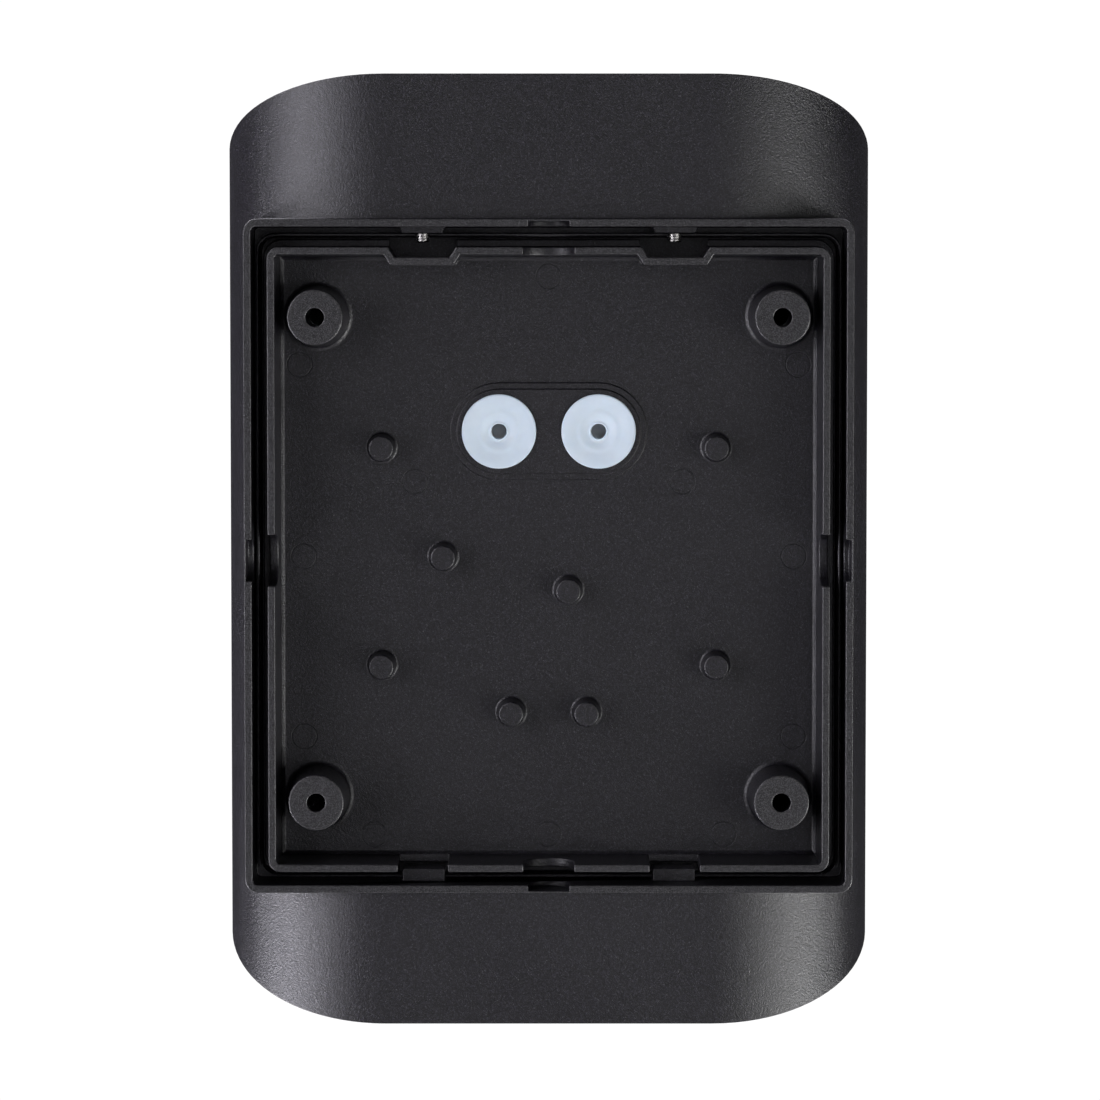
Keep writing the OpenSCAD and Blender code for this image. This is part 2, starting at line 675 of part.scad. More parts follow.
module live_lead() color([0.35, 0.18, 0.08]) lead([
    [-pole_x, clamp_depth, terminal_z + 3.4], [-pole_x, clamp_depth, terminal_z + 8.4],
    [-pole_x - 3, clamp_depth + 1.5, terminal_z + 12.4],
    [14 - wire_hole_x, clamp_depth + 3.5, wire_hole_z - 4],
    [3 - wire_hole_x, bracket_back - 10, wire_hole_z - 1],
    [-wire_hole_x - 1.6, bracket_back - 5, wire_hole_z], [-wire_hole_x - 1.7, bracket_back, wire_hole_z],
    [-wire_hole_x - 1.7, bracket_front + 2, wire_hole_z + 0.5],
    [-wire_hole_x - 1.3, driver_lead_depth - 3, wire_hole_z + 4],
    [1 - wire_hole_x, driver_lead_depth, wire_hole_z + 11],
    [-driver_l / 2 - 6, driver_lead_depth + 0.4, -driver_lead_z - 1],
    [-driver_l / 2 - 2, driver_lead_depth, -driver_lead_z],
    [2 - driver_l / 2, driver_lead_depth, -driver_lead_z]]);

module neutral_lead() color([0.1, 0.25, 0.6]) lead([
    [pole_x, clamp_depth, terminal_z + 3.4], [pole_x, clamp_depth, terminal_z + 8.4],
    [pole_x - 3, clamp_depth + 1.5, terminal_z + 12.4], [pole_x - 15, bracket_back - 5, terminal_z + 15.4],
    [-pole_x - 1, bracket_back - 4.5, wire_hole_z - 4], [10 - wire_hole_x, bracket_back - 5, wire_hole_z - 1],
    [3 - wire_hole_x, bracket_back - 3.5, wire_hole_z], [1.7 - wire_hole_x, bracket_back, wire_hole_z],
    [1.7 - wire_hole_x, bracket_front + 3, wire_hole_z],
    [1.2 - wire_hole_x, driver_lead_depth - 1, wire_hole_z + 2],
    [-wire_hole_x - 2, driver_lead_depth + 4, wire_hole_z + 10], [-wire_hole_x - 3, driver_lead_depth + 6, 0],
    [-wire_hole_x, driver_lead_depth + 4.5, driver_lead_z + 1],
    [-driver_l / 2 - 6, driver_lead_depth + 1, driver_lead_z + 0.6],
    [-driver_l / 2 - 2, driver_lead_depth, driver_lead_z],
    [2 - driver_l / 2, driver_lead_depth, driver_lead_z]]);

module earth_lead() let (p = earth_points[1], barrel = floor_front + lug_barrel_depth)
    color([0.55, 0.7, 0.15]) lead([
        [p[0], barrel, p[1] - lug_tail - 1.1], [p[0], barrel, p[1] - lug_tail - 4.1],
        [p[0], barrel, p[1] - lug_tail - 7.1], [p[0] + 1.2, barrel + 1, p[1] - lug_tail - 10.1],
        [p[0] + 4, clamp_depth - 0.5, terminal_z + 10.4],
        [0, clamp_depth, terminal_z + 7.4], [0, clamp_depth, terminal_z + 3.4]]);

// The lamp leads leave the driver's end, rise beside it and pass through the shelf onto the board
module led_leads(upper) let (rise = (shelf_z - driver_lead_z) / 46)
    color([0.75, 0.1, 0.08]) mirror([0, 0, upper ? 0 : 1]) lead([for (q = [
        [driver_l / 2 - 2, driver_lead_z], [driver_l / 2 + 2, driver_lead_z],
        [driver_l / 2 + 7, driver_lead_z + 3 * rise], [wire_hole_x, driver_lead_z + 11 * rise],
        [wire_hole_x + 1, driver_lead_z + 24 * rise], [wire_hole_x + 1, driver_lead_z + 38 * rise],
        [wire_hole_x + 1, shelf_z], [wire_hole_x + 0.2, shelf_z + 3], [board_half + 1.5, shelf_z + 4],
        [board_half - 1.5, shelf_z + 2.8]]) [q[0], driver_lead_depth, q[1]]]);

module upper_led_leads() led_leads(true);
module lower_led_leads() led_leads(false);

// The plan of the hood, drawn in x and y, with its walls pulled in by a thickness
module hood_plan(inset)
    translate([0, -hood_gap - hood_d / 2])
        rounded(hood_w - 2 * inset, hood_d - 2 * inset, hood_r - inset);

// The hood's outer block, or the space inside it
module hood_block(inset, end_inset) {
    drop = end_inset / cos(end_slope);
    fall = (hood_d + 2 * past) * tan(end_slope);
    rise = past * tan(end_slope);
    intersection() {
        translate([0, 0, hood_bottom - past]) linear_extrude(hood_h + 2 * past) hood_plan(inset);
        translate([-hood_w / 2 - past, 0, 0]) rotate([90, 0, 90]) linear_extrude(hood_w + 2 * past)
            polygon([
                [past - hood_gap, hood_top - drop + rise],
                [-hood_front - past, hood_top - drop + rise - fall],
                [-hood_front - past, hood_bottom + drop - rise + fall],
                [past - hood_gap, hood_bottom + drop - rise]]);
    }
}

module skirt_inside(w = skirt_in_w, h = skirt_in_h, r = skirt_in_corner)
    translate([0, skirt_mid]) rounded(w, h, r);

// The skirt, and behind it the lip round the flange and the ledge for the seal
module skirt() {
    slab(0, ledge_front) difference() {
        skirt_inside(skirt_w, skirt_in_h + 2 * skirt_wall, skirt_corner);
        skirt_inside();
    }
    slab(lip_back, ledge_front) difference() {
        skirt_inside(skirt_in_w + 1, skirt_in_h + 1, skirt_in_corner);
        rounded(lip_w, lip_h, lip_r);
    }
    slab(ledge_back, ledge_front) difference() {
        skirt_inside(skirt_in_w + 1, skirt_in_h + 1, skirt_in_corner);
        rounded(ledge_open_w, ledge_open_h, 2);
    }
    slab(bead_back, lip_back + 1) difference() {
        bead_top = lip_h / 2 + bead_w;
        bead_foot = skirt_in_bottom - 1;
        translate([0, (bead_top + bead_foot) / 2])
            rounded(lip_w + 2 * bead_w, bead_top - bead_foot, lip_r + bead_w);
        rounded(lip_w, lip_h, lip_r);
        translate([-hood_w / 2, -rim_h]) square([hood_w, rim_h / 2]);
    }
}

// The trapezoid bosses and the columns that carry the lock screws, and the hook tabs
module lock_bosses() for (s = [-1, 1]) translate([s * lock_x, 0, 0]) {
    slab(screw_boss_back, screw_boss_front) polygon([
        [-screw_boss_w / 2, skirt_in_top + 1], [-screw_boss_w / 2, skirt_in_top],
        [-screw_boss_flat / 2, skirt_in_top - screw_boss_drop],
        [screw_boss_flat / 2, skirt_in_top - screw_boss_drop],
        [screw_boss_w / 2, skirt_in_top], [screw_boss_w / 2, skirt_in_top + 1]]);
    translate([0, -lock_depth, skirt_in_top + 1])
        cylinder(h = hood_top - skirt_in_top, r = column_r);
    slab(tab_back, tab_front) translate([-tab_w / 2, skirt_in_bottom - 1])
        square([tab_w, tab_h + 1]);
}

module skirt_cuts() {
    // knock-outs, cut from inside to leave a thin skin
    top = skirt_in_top + skirt_wall - knockout_skin;
    bottom = skirt_in_bottom - skirt_wall + knockout_skin;
    side = skirt_w / 2 - knockout_skin;
    through_z(top - skirt_wall - 1, top) u_cut(knockout_w, knockout_d);
    through_z(bottom, bottom + skirt_wall + 1) u_cut(knockout_w, knockout_d);
    through_x(side - skirt_wall, side) u_cut(knockout_w, knockout_d);
    through_x(-side, skirt_wall - side) u_cut(knockout_w, knockout_d);
    // the lock screws' threads and head bores
    for (s = [-1, 1]) translate([s * lock_x, -lock_depth, 0]) {
        translate([0, 0, skirt_in_top - screw_boss_drop - past])
            cylinder(h = hood_h, r = lock_r + run_clear);
        translate([0, 0, lock_seat]) cylinder(h = hood_h, r = counterbore_r);
    }
}

module window_cuts(upper) at_end(upper) {
    end_slab(-end_wall - past, past) rounded(window_w, window_l, window_r);
    for (p = frame_boss_points) translate([p[0], -p[1], -frame_in - past])
        cylinder(h = past + frame_in - 1.2, r = screw_r + run_clear);
}

module frame_bosses(upper) at_end(upper)
    for (p = frame_boss_points) translate([p[0], -p[1], -frame_in])
        cylinder(h = frame_in - end_wall + 1, r = frame_boss_r);

module hood_shell() color(coat) difference() {
    union() {
        difference() {
            hood_block(0, 0);
            hood_block(hood_wall, end_wall);
            slab(-past, ledge_front + 4) skirt_inside();
        }
        skirt();
        intersection() {
            hood_block(0, 0);
            union() {
                lock_bosses();
                frame_bosses(true);
                frame_bosses(false);
            }
        }
    }
    skirt_cuts();
    window_cuts(true);
    window_cuts(false);
}

module glass(upper) color([0.85, 0.92, 0.92, 0.5]) at_end(upper)
    end_slab(-frame_in, -glass_in) rounded(glass_w, glass_l, glass_r);

module upper_glass() glass(true);
module lower_glass() glass(false);

module glass_seal(upper) color([0.2, 0.2, 0.22]) at_end(upper)
    end_slab(-glass_in, -end_wall - seat_gap) difference() {
        rounded(glass_w, glass_l, glass_r);
        rounded(window_w + 1, window_l + 1, window_r + 0.5);
    }

module upper_glass_seal() glass_seal(true);
module lower_glass_seal() glass_seal(false);

module glass_frame(upper) color([0.6, 0.61, 0.63]) at_end(upper) difference() {
    end_slab(-frame_in - frame_t, -frame_in) difference() {
        rounded(glass_w + 2 * frame_margin, glass_l - 2, glass_r);
        rounded(window_w, window_l, window_r);
    }
    for (p = frame_boss_points) translate([p[0], -p[1], -frame_in - frame_t - past])
        cylinder(h = frame_t + 2 * past, r = screw_r + 0.2);
}

module upper_glass_frame() glass_frame(true);
module lower_glass_frame() glass_frame(false);

module glass_frame_screws() color([0.78, 0.78, 0.76])
    for (upper = [true, false], p = frame_boss_points) at_end(upper)
        translate([p[0], -p[1], -frame_in - frame_t]) mirror([0, 0, 1]) pan_screw(frame_screw_l);

// A socket-head lock screw with its tip in the jog of the rim
module lock_screw(side) color([0.82, 0.82, 0.8]) translate([side * lock_x, -lock_depth, lock_tip])
    difference() {
        union() {
            cylinder(h = 0.4, r1 = lock_r - 0.4, r2 = lock_r);
            translate([0, 0, 0.4]) cylinder(h = lock_length - 0.4, r = lock_r);
            translate([0, 0, lock_length]) cylinder(h = lock_head_h, r = lock_head_r);
        }
        translate([0, 0, lock_length + lock_head_h - 2.2]) cylinder(h = 3, r = 1.75, $fn = 6);
    }

module lock_screw_left() lock_screw(-1);
module lock_screw_right() lock_screw(1);

// A rubber plug that closes the head bore of a lock screw
module access_plug(side) color([0.12, 0.12, 0.13]) {
    face = hood_top - (lock_depth - hood_gap) * tan(end_slope);
    difference() {
        translate([side * lock_x, -lock_depth, face - plug_l])
            cylinder(h = plug_l + 4, r = counterbore_r - plug_clear);
        at_end(true) translate([-hood_w, -hood_d, plug_cap_t / 2]) cube([2 * hood_w, 2 * hood_d, 20]);
    }
    at_end(true) translate([side * lock_x, -(lock_depth - hood_gap) / cos(end_slope), plug_lift])
        cylinder(h = plug_cap_t, r = plug_cap_r);
}

module access_plug_left() access_plug(-1);
module access_plug_right() access_plug(1);

wall_tray();
cable_grommet_left();
cable_grommet_right();
tray_seal();
gear_bracket();
gear_bracket_screws();
led_driver();
led_driver_screws();
terminal_block();
terminal_block_screws();
terminal_clamp_screws();
earth_lugs();
earth_screws();
upper_led_board();
lower_led_board();
upper_led_chips();
lower_led_chips();
led_board_screws();
upper_reflector();
lower_reflector();
live_lead();
neutral_lead();
earth_lead();
upper_led_leads();
lower_led_leads();
hood_shell();
upper_glass();
lower_glass();
upper_glass_seal();
lower_glass_seal();
upper_glass_frame();
lower_glass_frame();
glass_frame_screws();
lock_screw_left();
lock_screw_right();
access_plug_left();
access_plug_right();
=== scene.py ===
import math

import bmesh
import bpy
import numpy as np
from bpy.props import FloatProperty, FloatVectorProperty, PointerProperty
from bpy.types import Operator, Panel, PropertyGroup
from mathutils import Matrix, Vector, kdtree


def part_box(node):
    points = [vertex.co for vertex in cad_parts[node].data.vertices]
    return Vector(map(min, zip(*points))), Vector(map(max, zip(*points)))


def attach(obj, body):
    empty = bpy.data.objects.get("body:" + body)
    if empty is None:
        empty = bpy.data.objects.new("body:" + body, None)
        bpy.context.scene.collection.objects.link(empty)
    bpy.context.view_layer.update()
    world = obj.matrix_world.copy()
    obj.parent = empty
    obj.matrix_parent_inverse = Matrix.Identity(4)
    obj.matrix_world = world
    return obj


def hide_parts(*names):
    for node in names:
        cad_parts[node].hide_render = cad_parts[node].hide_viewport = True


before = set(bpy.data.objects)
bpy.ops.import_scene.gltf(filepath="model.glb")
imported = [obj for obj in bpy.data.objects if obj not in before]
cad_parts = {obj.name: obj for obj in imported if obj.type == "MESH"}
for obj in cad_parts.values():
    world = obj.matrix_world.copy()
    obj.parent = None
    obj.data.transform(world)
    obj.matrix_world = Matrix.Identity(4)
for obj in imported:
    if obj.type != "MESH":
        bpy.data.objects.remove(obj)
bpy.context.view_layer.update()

bl_info = {
    "name": "Outdoor Wall Light",
    "version": (1, 0, 0),
    "blender": (4, 5, 0),
    "location": "3D View > Sidebar > Wall Light",
    "description": "Finishes the pieces of an up-and-down outdoor wall light and sets its stage",
    "category": "Object",
}

MM = 0.001
TRAY = "tray_assembly"
HOOD = "hood_assembly"
SIDES = ("left", "right")
ENDS = ("upper", "lower")
END_SLOPE = math.radians(25)  # how far the hood's two ends lean
LEAD_RADIUS = 1.0 * MM
ONE_POINT = 0.002 * MM  # points nearer to each other than this are one point
FLAT_TURN = math.radians(0.4)  # faces that turn less than this are one flat face
SHARP_TURN = math.radians(28)  # edges that turn more than this are softened
SEEN_WHITE = 1.05  # strength of the white that the camera sees behind and below the light
WORLD_LIGHT = 0.03  # strength of the light from all round
FLOOR_HALF = 6.0  # half the floor's width, in metres
CAMERA_SHIFT = (0.0011, 0.0018)

# soft boxes: name, angle from the wall's normal towards +X and elevation in degrees, then distance, width
# and height in metres, and watts
SOFT_BOXES = (
    ("left_low", 85, -28, 1.6, 0.5, 0.6, 23.0),
    ("left_low_far", 105, -28, 1.6, 0.5, 0.6, 5.0),
    ("left_side_low", 66, -8, 1.6, 0.5, 0.6, 1.5),
    ("left_side", 66, 12, 1.6, 0.5, 0.6, 7.5),
    ("left_near_low", 50, -8, 1.6, 0.5, 0.6, 4.0),
    ("left_near", 36, 12, 1.6, 0.5, 0.6, 2.5),
    ("left_high", 66, 40, 1.6, 0.5, 0.6, 5.5),
    ("left_high_far", 105, 40, 1.6, 0.5, 0.6, 8.0),
    ("middle", -7, 2, 1.6, 0.5, 1.2, 1.5),
    ("right_near", -36, -8, 1.6, 0.5, 0.6, 2.0),
    ("right_side", -58, -8, 1.6, 0.9, 0.6, 5.0),
    ("right_low_near", -50, -28, 1.6, 0.5, 0.6, 2.0),
    ("right_low", -66, -28, 1.6, 0.5, 0.6, 5.5),
    ("right_low_far", -85, -28, 1.6, 0.5, 0.6, 16.5),
    ("front_left", 148, 46, 2.0, 1.2, 1.0, 18.0),
    ("front_right", -148, 46, 2.0, 1.2, 1.0, 10.0),
    ("front_low", 180, -40, 2.0, 1.6, 0.8, 10.0),
    ("front_high", 180, 62, 2.2, 2.0, 1.2, 26.0),
    ("front_left_high", 150, 70, 2.2, 1.2, 1.2, 8.0),
)
WHITE_LIGHT = (1.0, 1.0, 1.0)  # of the boxes on the right
COOL_LIGHT = (0.99, 0.97, 1.06)  # of all other boxes


# ---------------------------------------------------------------- settings

class WallLightFinish(PropertyGroup):
    """Colours and surface sizes of the light's finishes."""
    coat_colour: FloatVectorProperty(
        name="Coat colour", description="Colour of the black powder coat",
        default=(0.0046, 0.0042, 0.0060), subtype="COLOR", min=0, max=1)
    coat_roughness: FloatProperty(
        name="Coat roughness", description="Roughness of the powder coat",
        default=0.335, min=0, max=1, subtype="FACTOR")
    coat_gloss: FloatProperty(
        name="Coat gloss", description="Specular level of the powder coat",
        default=0.63, min=0, max=1, subtype="FACTOR")
    coat_grain: FloatProperty(
        name="Coat grain", description="Size of the powder coat's grain",
        default=0.68 * MM, min=0.0001, max=0.003, unit="LENGTH")
    coat_depth: FloatProperty(
        name="Coat depth", description="Height of the powder coat's grain",
        default=0.22 * MM, min=0, max=0.001, unit="LENGTH")
    coat_specks: FloatProperty(
        name="Coat specks", description="How much light the pale specks add to the coat's colour",
        default=0.08, min=0, max=0.3)
    # painted highlight: how much paler the faces that meet the wall are painted, in place of light on them
    coat_edge_highlight: FloatProperty(
        name="Painted edge highlight", description="How much the painted edge highlight adds to the faces that meet the wall",
        default=0.042, min=0, max=0.3)
    silicone_colour: FloatVectorProperty(
        name="Silicone colour", description="Colour of the cable grommets",
        default=(0.66, 0.76, 0.84), subtype="COLOR", min=0, max=1)
    edge_round: FloatProperty(
        name="Edge rounding", description="Radius of the soft edges of the castings",
        default=0.35 * MM, min=0.00005, max=0.001, unit="LENGTH")
    small_edge_round: FloatProperty(
        name="Small edge rounding", description="Radius of the edges of the gear and fixings",
        default=0.15 * MM, min=0.00002, max=0.001, unit="LENGTH")


class WallLightStage(PropertyGroup):
    """Camera, light and floor."""
    camera_distance: FloatProperty(
        name="Camera distance", description="From the middle of the hood's back to the camera",
        default=1.3085, min=0.5, max=10, unit="LENGTH")
    camera_height: FloatProperty(
        name="Camera elevation", description="Angle of the camera above the wall's normal",
        default=math.radians(3.5), min=0, max=1.5, subtype="ANGLE")
    camera_lens: FloatProperty(
        name="Focal length", description="Focal length on a 36 mm sensor, in millimetres",
        default=163.64, min=10, max=500)
    floor_drop: FloatProperty(
        name="Floor below the light", description="From the hood's lowest edge down to the floor",
        default=1.2, min=0.01, max=5, unit="LENGTH")


# ---------------------------------------------------------------- shader maths

class Value:
    """A socket in a material's node tree. Arithmetic on it adds Math nodes."""

    def __init__(self, tree, socket):
        self.tree = tree
        self.socket = socket

    def node(self, kind, settings=None, inputs=None, output=0):
        """Adds any node: its settings first, then the values or links of its sockets."""
        made = self.tree.nodes.new(kind)
        for name, setting in (settings or {}).items():
            setattr(made, name, setting)
        for name, given in (inputs or {}).items():
            if isinstance(given, Value):
                self.tree.links.new(given.socket, made.inputs[name])
            else:
                made.inputs[name].default_value = given
        return Value(self.tree, made.outputs[output])

    def maths(self, operation, first, second):
        """Adds a Math node on two values."""
        return self.node("ShaderNodeMath", {"operation": operation}, {0: first, 1: second})

    def __add__(self, other):
        return self.maths("ADD", self, other)

    def __radd__(self, other):
        return self.maths("ADD", other, self)

    def __sub__(self, other):
        return self.maths("SUBTRACT", self, other)

    def __rsub__(self, other):
        return self.maths("SUBTRACT", other, self)

    def __mul__(self, other):
        return self.maths("MULTIPLY", self, other)

    def __rmul__(self, other):
        return self.maths("MULTIPLY", other, self)


def mix(factor, first, second):
    """Mixes two colours by a factor."""
    return factor.node("ShaderNodeMix", {"data_type": "RGBA"}, {0: factor, 6: first, 7: second}, 2)


def spread(value, low, high, to_low=0.0, to_high=1.0):
    """Takes the range low to high of a value onto another range, and holds it there."""
    return value.node("ShaderNodeMapRange", {"clamp": True}, {
        "Value": value, "From Min": low, "From Max": high, "To Min": to_low, "To Max": to_high})


def noise(place, scale, detail=2.0, rough=0.5):
    """A noise pattern of about 0 to 1; its features are 1 / scale metres wide."""
    return place.node("ShaderNodeTexNoise", {}, {
        "Vector": place, "Scale": scale, "Detail": detail, "Roughness": rough})


def bump(height, strength, distance):
    """A normal from a height of 0 to 1 and the distance in metres that it stands for."""
    return height.node("ShaderNodeBump", {}, {
        "Height": height, "Strength": strength, "Distance": distance})


def rgba(colour):
    """A colour with its alpha."""
    return (*colour, 1.0)


def material(name, paint):
    """Makes a material: paint(place) gives the Principled sockets that vary or differ."""
    made = bpy.data.materials.new(name)
    made.use_nodes = True
    tree = made.node_tree
    tree.nodes.clear()
    shader = tree.nodes.new("ShaderNodeBsdfPrincipled")
    output = tree.nodes.new("ShaderNodeOutputMaterial")
    tree.links.new(shader.outputs[0], output.inputs[0])
    coordinates = tree.nodes.new("ShaderNodeTexCoord")
    for socket, given in paint(Value(tree, coordinates.outputs["Object"])).items():
        if isinstance(given, Value):
            tree.links.new(given.socket, shader.inputs[socket])
        else:
            shader.inputs[socket].default_value = given
    return made


# ---------------------------------------------------------------- finishes

def powder_coat(look):
    """Black powder coat: a fine mottled grain, sparse paler specks and a broad faint cloud, with a painted
    highlight: the faces that meet the wall are painted paler, in place of light on them. The grain is turned
    off the axes, so that it is as strong on a flat face as on a curved one."""
    def paint(place):
        off_axis = (0.5, 0.7, 0.3)
        turned = place.node("ShaderNodeMapping", {}, {"Vector": place, "Rotation": off_axis})
        grain = noise(turned, 1 / look.coat_grain, 2.0, 0.7)
        fine = noise(turned, 2.6 / look.coat_grain, 1.0)
        cloud = noise(turned, 30.0, 3.0)
        mottle = spread(grain * 0.4 + fine * 0.6, 0.48, 0.60)
        specks = spread(fine, 0.66, 0.76) * spread(grain, 0.47, 0.57)
        depth = place.node("ShaderNodeSeparateXYZ", {}, {"Vector": place}, "Y")
        # painted highlight: faces at the wall's plane are painted paler in grains, standing in for light on
        # them
        painted_highlight_mask = spread(depth, -0.5 * MM, -0.2 * MM) * spread(fine, 0.46, 0.62)
        dark = tuple(0.1 * c for c in look.coat_colour)
        light = tuple(4.2 * c for c in look.coat_colour)
        pale = tuple(c + look.coat_specks for c in look.coat_colour)
        painted_highlight_colour = tuple(c + look.coat_edge_highlight for c in look.coat_colour)
        base = mix(painted_highlight_mask, mix(mottle, rgba(dark), rgba(light)), rgba(painted_highlight_colour))
        return {
            "Base Color": mix(specks, base, rgba(pale)),
            "Roughness": look.coat_roughness + 0.05 * spread(cloud, 0.3, 0.7) - 0.05 * mottle,
            "Specular IOR Level": look.coat_gloss,
            "Normal": bump(grain * 0.55 + fine * 0.45, 1.0, look.coat_depth),
        }
    return material("black_powder_coat", paint)


def silicone(look):
    """Milky silicone: a soft haze in its colour, and a faint matt bloom."""
    def paint(place):
        haze = noise(place, 260.0, 3.0)
        bloom = noise(place, 2600.0, 2.0)
        pale = tuple(min(1.0, 1.06 * c) for c in look.silicone_colour)
        return {
            "Base Color": mix(spread(haze, 0.3, 0.7), rgba(look.silicone_colour), rgba(pale)),
            "Roughness": spread(bloom, 0.3, 0.7, 0.36, 0.48),
            "Subsurface Weight": 0.25,
            "Subsurface Radius": (0.0015, 0.002, 0.0025),
            "Normal": bump(bloom, 0.25, 0.02 * MM),
        }
    return material("milky_silicone", paint)


def rubber(name, colour, roughness):
    """Matt moulded rubber: a fine pebble, and a paler bloom in patches."""
    def paint(place):
        pebble = noise(place, 2400.0, 2.0)
        bloom = noise(place, 70.0, 4.0, 0.6)
        pale = tuple(1.7 * c + 0.006 for c in colour)
        return {
            "Base Color": mix(spread(bloom, 0.42, 0.72), rgba(colour), rgba(pale)),
            "Roughness": roughness + 0.10 * spread(bloom, 0.3, 0.7),
            "Normal": bump(pebble, 0.6, 0.03 * MM),
        }
    return material(name, paint)


def moulded(name, colour, roughness, texture=1300.0, depth=0.03):
    """Moulded plastic or enamel: a fine spark texture and a slow change of shade."""
    def paint(place):
        spark = noise(place, texture, 3.0)
        shade = noise(place, 38.0, 2.0)
        deep = tuple(0.9 * c for c in colour)
        return {
            "Base Color": mix(spread(shade, 0.35, 0.65), rgba(deep), rgba(colour)),
            "Roughness": spread(spark, 0.3, 0.7, roughness - 0.05, roughness + 0.07),
            "Normal": bump(spark, 0.4, depth * MM),
        }
    return material(name, paint)


def metal(name, colour, roughness, brush=(1.0, 1.0, 1.0), stain=0.25):
    """Bare or plated metal: brush lines along one axis, and dull stains."""
    def paint(place):
        drawn = place.node("ShaderNodeMapping", {}, {"Vector": place, "Scale": brush})
        lines = noise(drawn, 2200.0, 2.0)
        dull = spread(noise(place, 110.0, 4.0, 0.65), 0.48, 0.70)
        stained = tuple((1 - stain) * c for c in colour)
        return {
            "Base Color": mix(dull, rgba(colour), rgba(stained)),
            "Roughness": spread(lines, 0.3, 0.7, roughness - 0.07, roughness + 0.07) + 0.12 * dull,
            "Metallic": 1.0,
            "Normal": bump(lines, 0.35, 0.012 * MM),
        }
    return material(name, paint)


def window_glass():
    """Clear toughened glass with a green cast, a little dusty."""
    def paint(place):
        dust = noise(place, 900.0, 4.0)
        return {
            "Base Color": (0.90, 0.96, 0.94, 1.0),
            "Roughness": spread(dust, 0.45, 0.75, 0.02, 0.09),
            "IOR": 1.5,
            "Transmission Weight": 1.0,
        }
    return material("window_glass", paint)


# ---------------------------------------------------------------- surfaces

def skin_of(x, y, z, round_rows=False):
    """Points and faces of a surface on a grid: quads between neighbouring rows and columns. The columns
    go round and meet. The rows do too where round_rows is true, and otherwise the first and the last row
    are each closed by a face."""
    rows, columns = x.shape
    at = np.arange(rows * columns).reshape(rows, columns)
    low = at if round_rows else at[:-1]
    high = np.roll(at, -1, axis=0) if round_rows else at[1:]
    quads = np.stack([low, np.roll(low, -1, axis=1), np.roll(high, -1, axis=1), high], axis=-1)
    faces = quads.reshape(-1, 4).tolist()
    if not round_rows:
        faces += [at[0][::-1].tolist(), at[-1].tolist()]
    return np.stack([x, y, z], axis=-1).reshape(-1, 3), faces


def piece_of(name, skins, body, finish, replaced=(), smooth_by=0, sharp=40.0):
    """One piece from several closed surfaces, with its faces turned outwards. Edges of more than sharp
    degrees stay sharp."""
    points, faces, start = [], [], 0
    for skin_points, skin_faces in skins:
        points.append(skin_points)
        faces += [[start + corner for corner in face] for face in skin_faces]
        start += len(skin_points)
    mesh = bpy.data.meshes.new(name)
    mesh.from_pydata(np.concatenate(points).tolist(), [], faces)
    skin = bmesh.new()
    skin.from_mesh(mesh)
    bmesh.ops.recalc_face_normals(skin, faces=skin.faces)
    skin.to_mesh(mesh)
    skin.free()
    shade_smooth(mesh)
    mesh.set_sharp_from_angle(angle=math.radians(sharp))
    piece = placed(name, mesh)
    if smooth_by:
        add_smooth(piece, smooth_by)
    return dress(piece, body, finish, replaced)


def placed(name, data):
    """A new object at the origin for a mesh, a camera or a light."""
    piece = bpy.data.objects.new(name, data)
    bpy.context.scene.collection.objects.link(piece)
    return piece


def add_smooth(piece, levels):
    """Subdivides a piece smoothly, as often in a view as in a render."""
    smooth = piece.modifiers.new("Smooth", "SUBSURF")
    smooth.levels = levels
    smooth.render_levels = levels


def turn_round(radius, depth, columns):
    """A turned surface: at angle a the profile's radius r gives r cos a and r sin a; depth stays."""
    angle = np.linspace(0, 2 * np.pi, columns, endpoint=False)
    return (np.outer(radius, np.cos(angle)), np.outer(radius, np.sin(angle)),
            np.outer(depth, np.ones(columns)))


def rounded_path(width, height, radius, steps=8):
    """A rounded rectangle: each corner's centre plus radius (cos a, sin a) over a quarter turn, with
    the outward directions (cos a, sin a)."""
    quarter = np.linspace(0, np.pi / 2, steps + 1)
    angle = (quarter[None, :] + np.pi / 2 * np.arange(4)[:, None]).ravel()
    signs = np.repeat(np.array([[1, 1], [-1, 1], [-1, -1], [1, -1]]), steps + 1, axis=0)
    out = np.stack([np.cos(angle), np.sin(angle)], axis=-1)
    return signs * [width / 2 - radius, height / 2 - radius] + radius * out, out


def gasket(width, height, radius, band, thick, square=3.0, steps=14):
    """A gasket drawn flat: a section carried round a rounded rectangle. The section is a superellipse,
    sign(cos a) |cos a|^(2/n) across and sign(sin a) |sin a|^(2/n) in height."""
    path, out = rounded_path(width, height, radius)
    angle = np.linspace(0, 2 * np.pi, steps, endpoint=False)
    power = 2 / square
    across = band / 2 * (np.sign(np.cos(angle)) * np.abs(np.cos(angle)) ** power - 1)
    height_of = thick / 2 * np.sign(np.sin(angle)) * np.abs(np.sin(angle)) ** power
    x = path[:, 0:1] + out[:, 0:1] * across
    y = path[:, 1:2] + out[:, 1:2] * across
    return x, y, np.ones((len(path), 1)) * height_of


# ---------------------------------------------------------------- pieces

def dress(piece, body, finish, replaced=()):
    """Gives a piece its finish, its body and the CAD nodes that it stands for."""
    piece.data.materials.clear()
    piece.data.materials.append(finish)
    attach(piece, body)
    if replaced:
        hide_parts(*replaced)
    return piece


def shade_smooth(mesh):
    """Shades all faces of a mesh smoothly."""
    mesh.polygons.foreach_set("use_smooth", np.ones(len(mesh.polygons), dtype=bool))


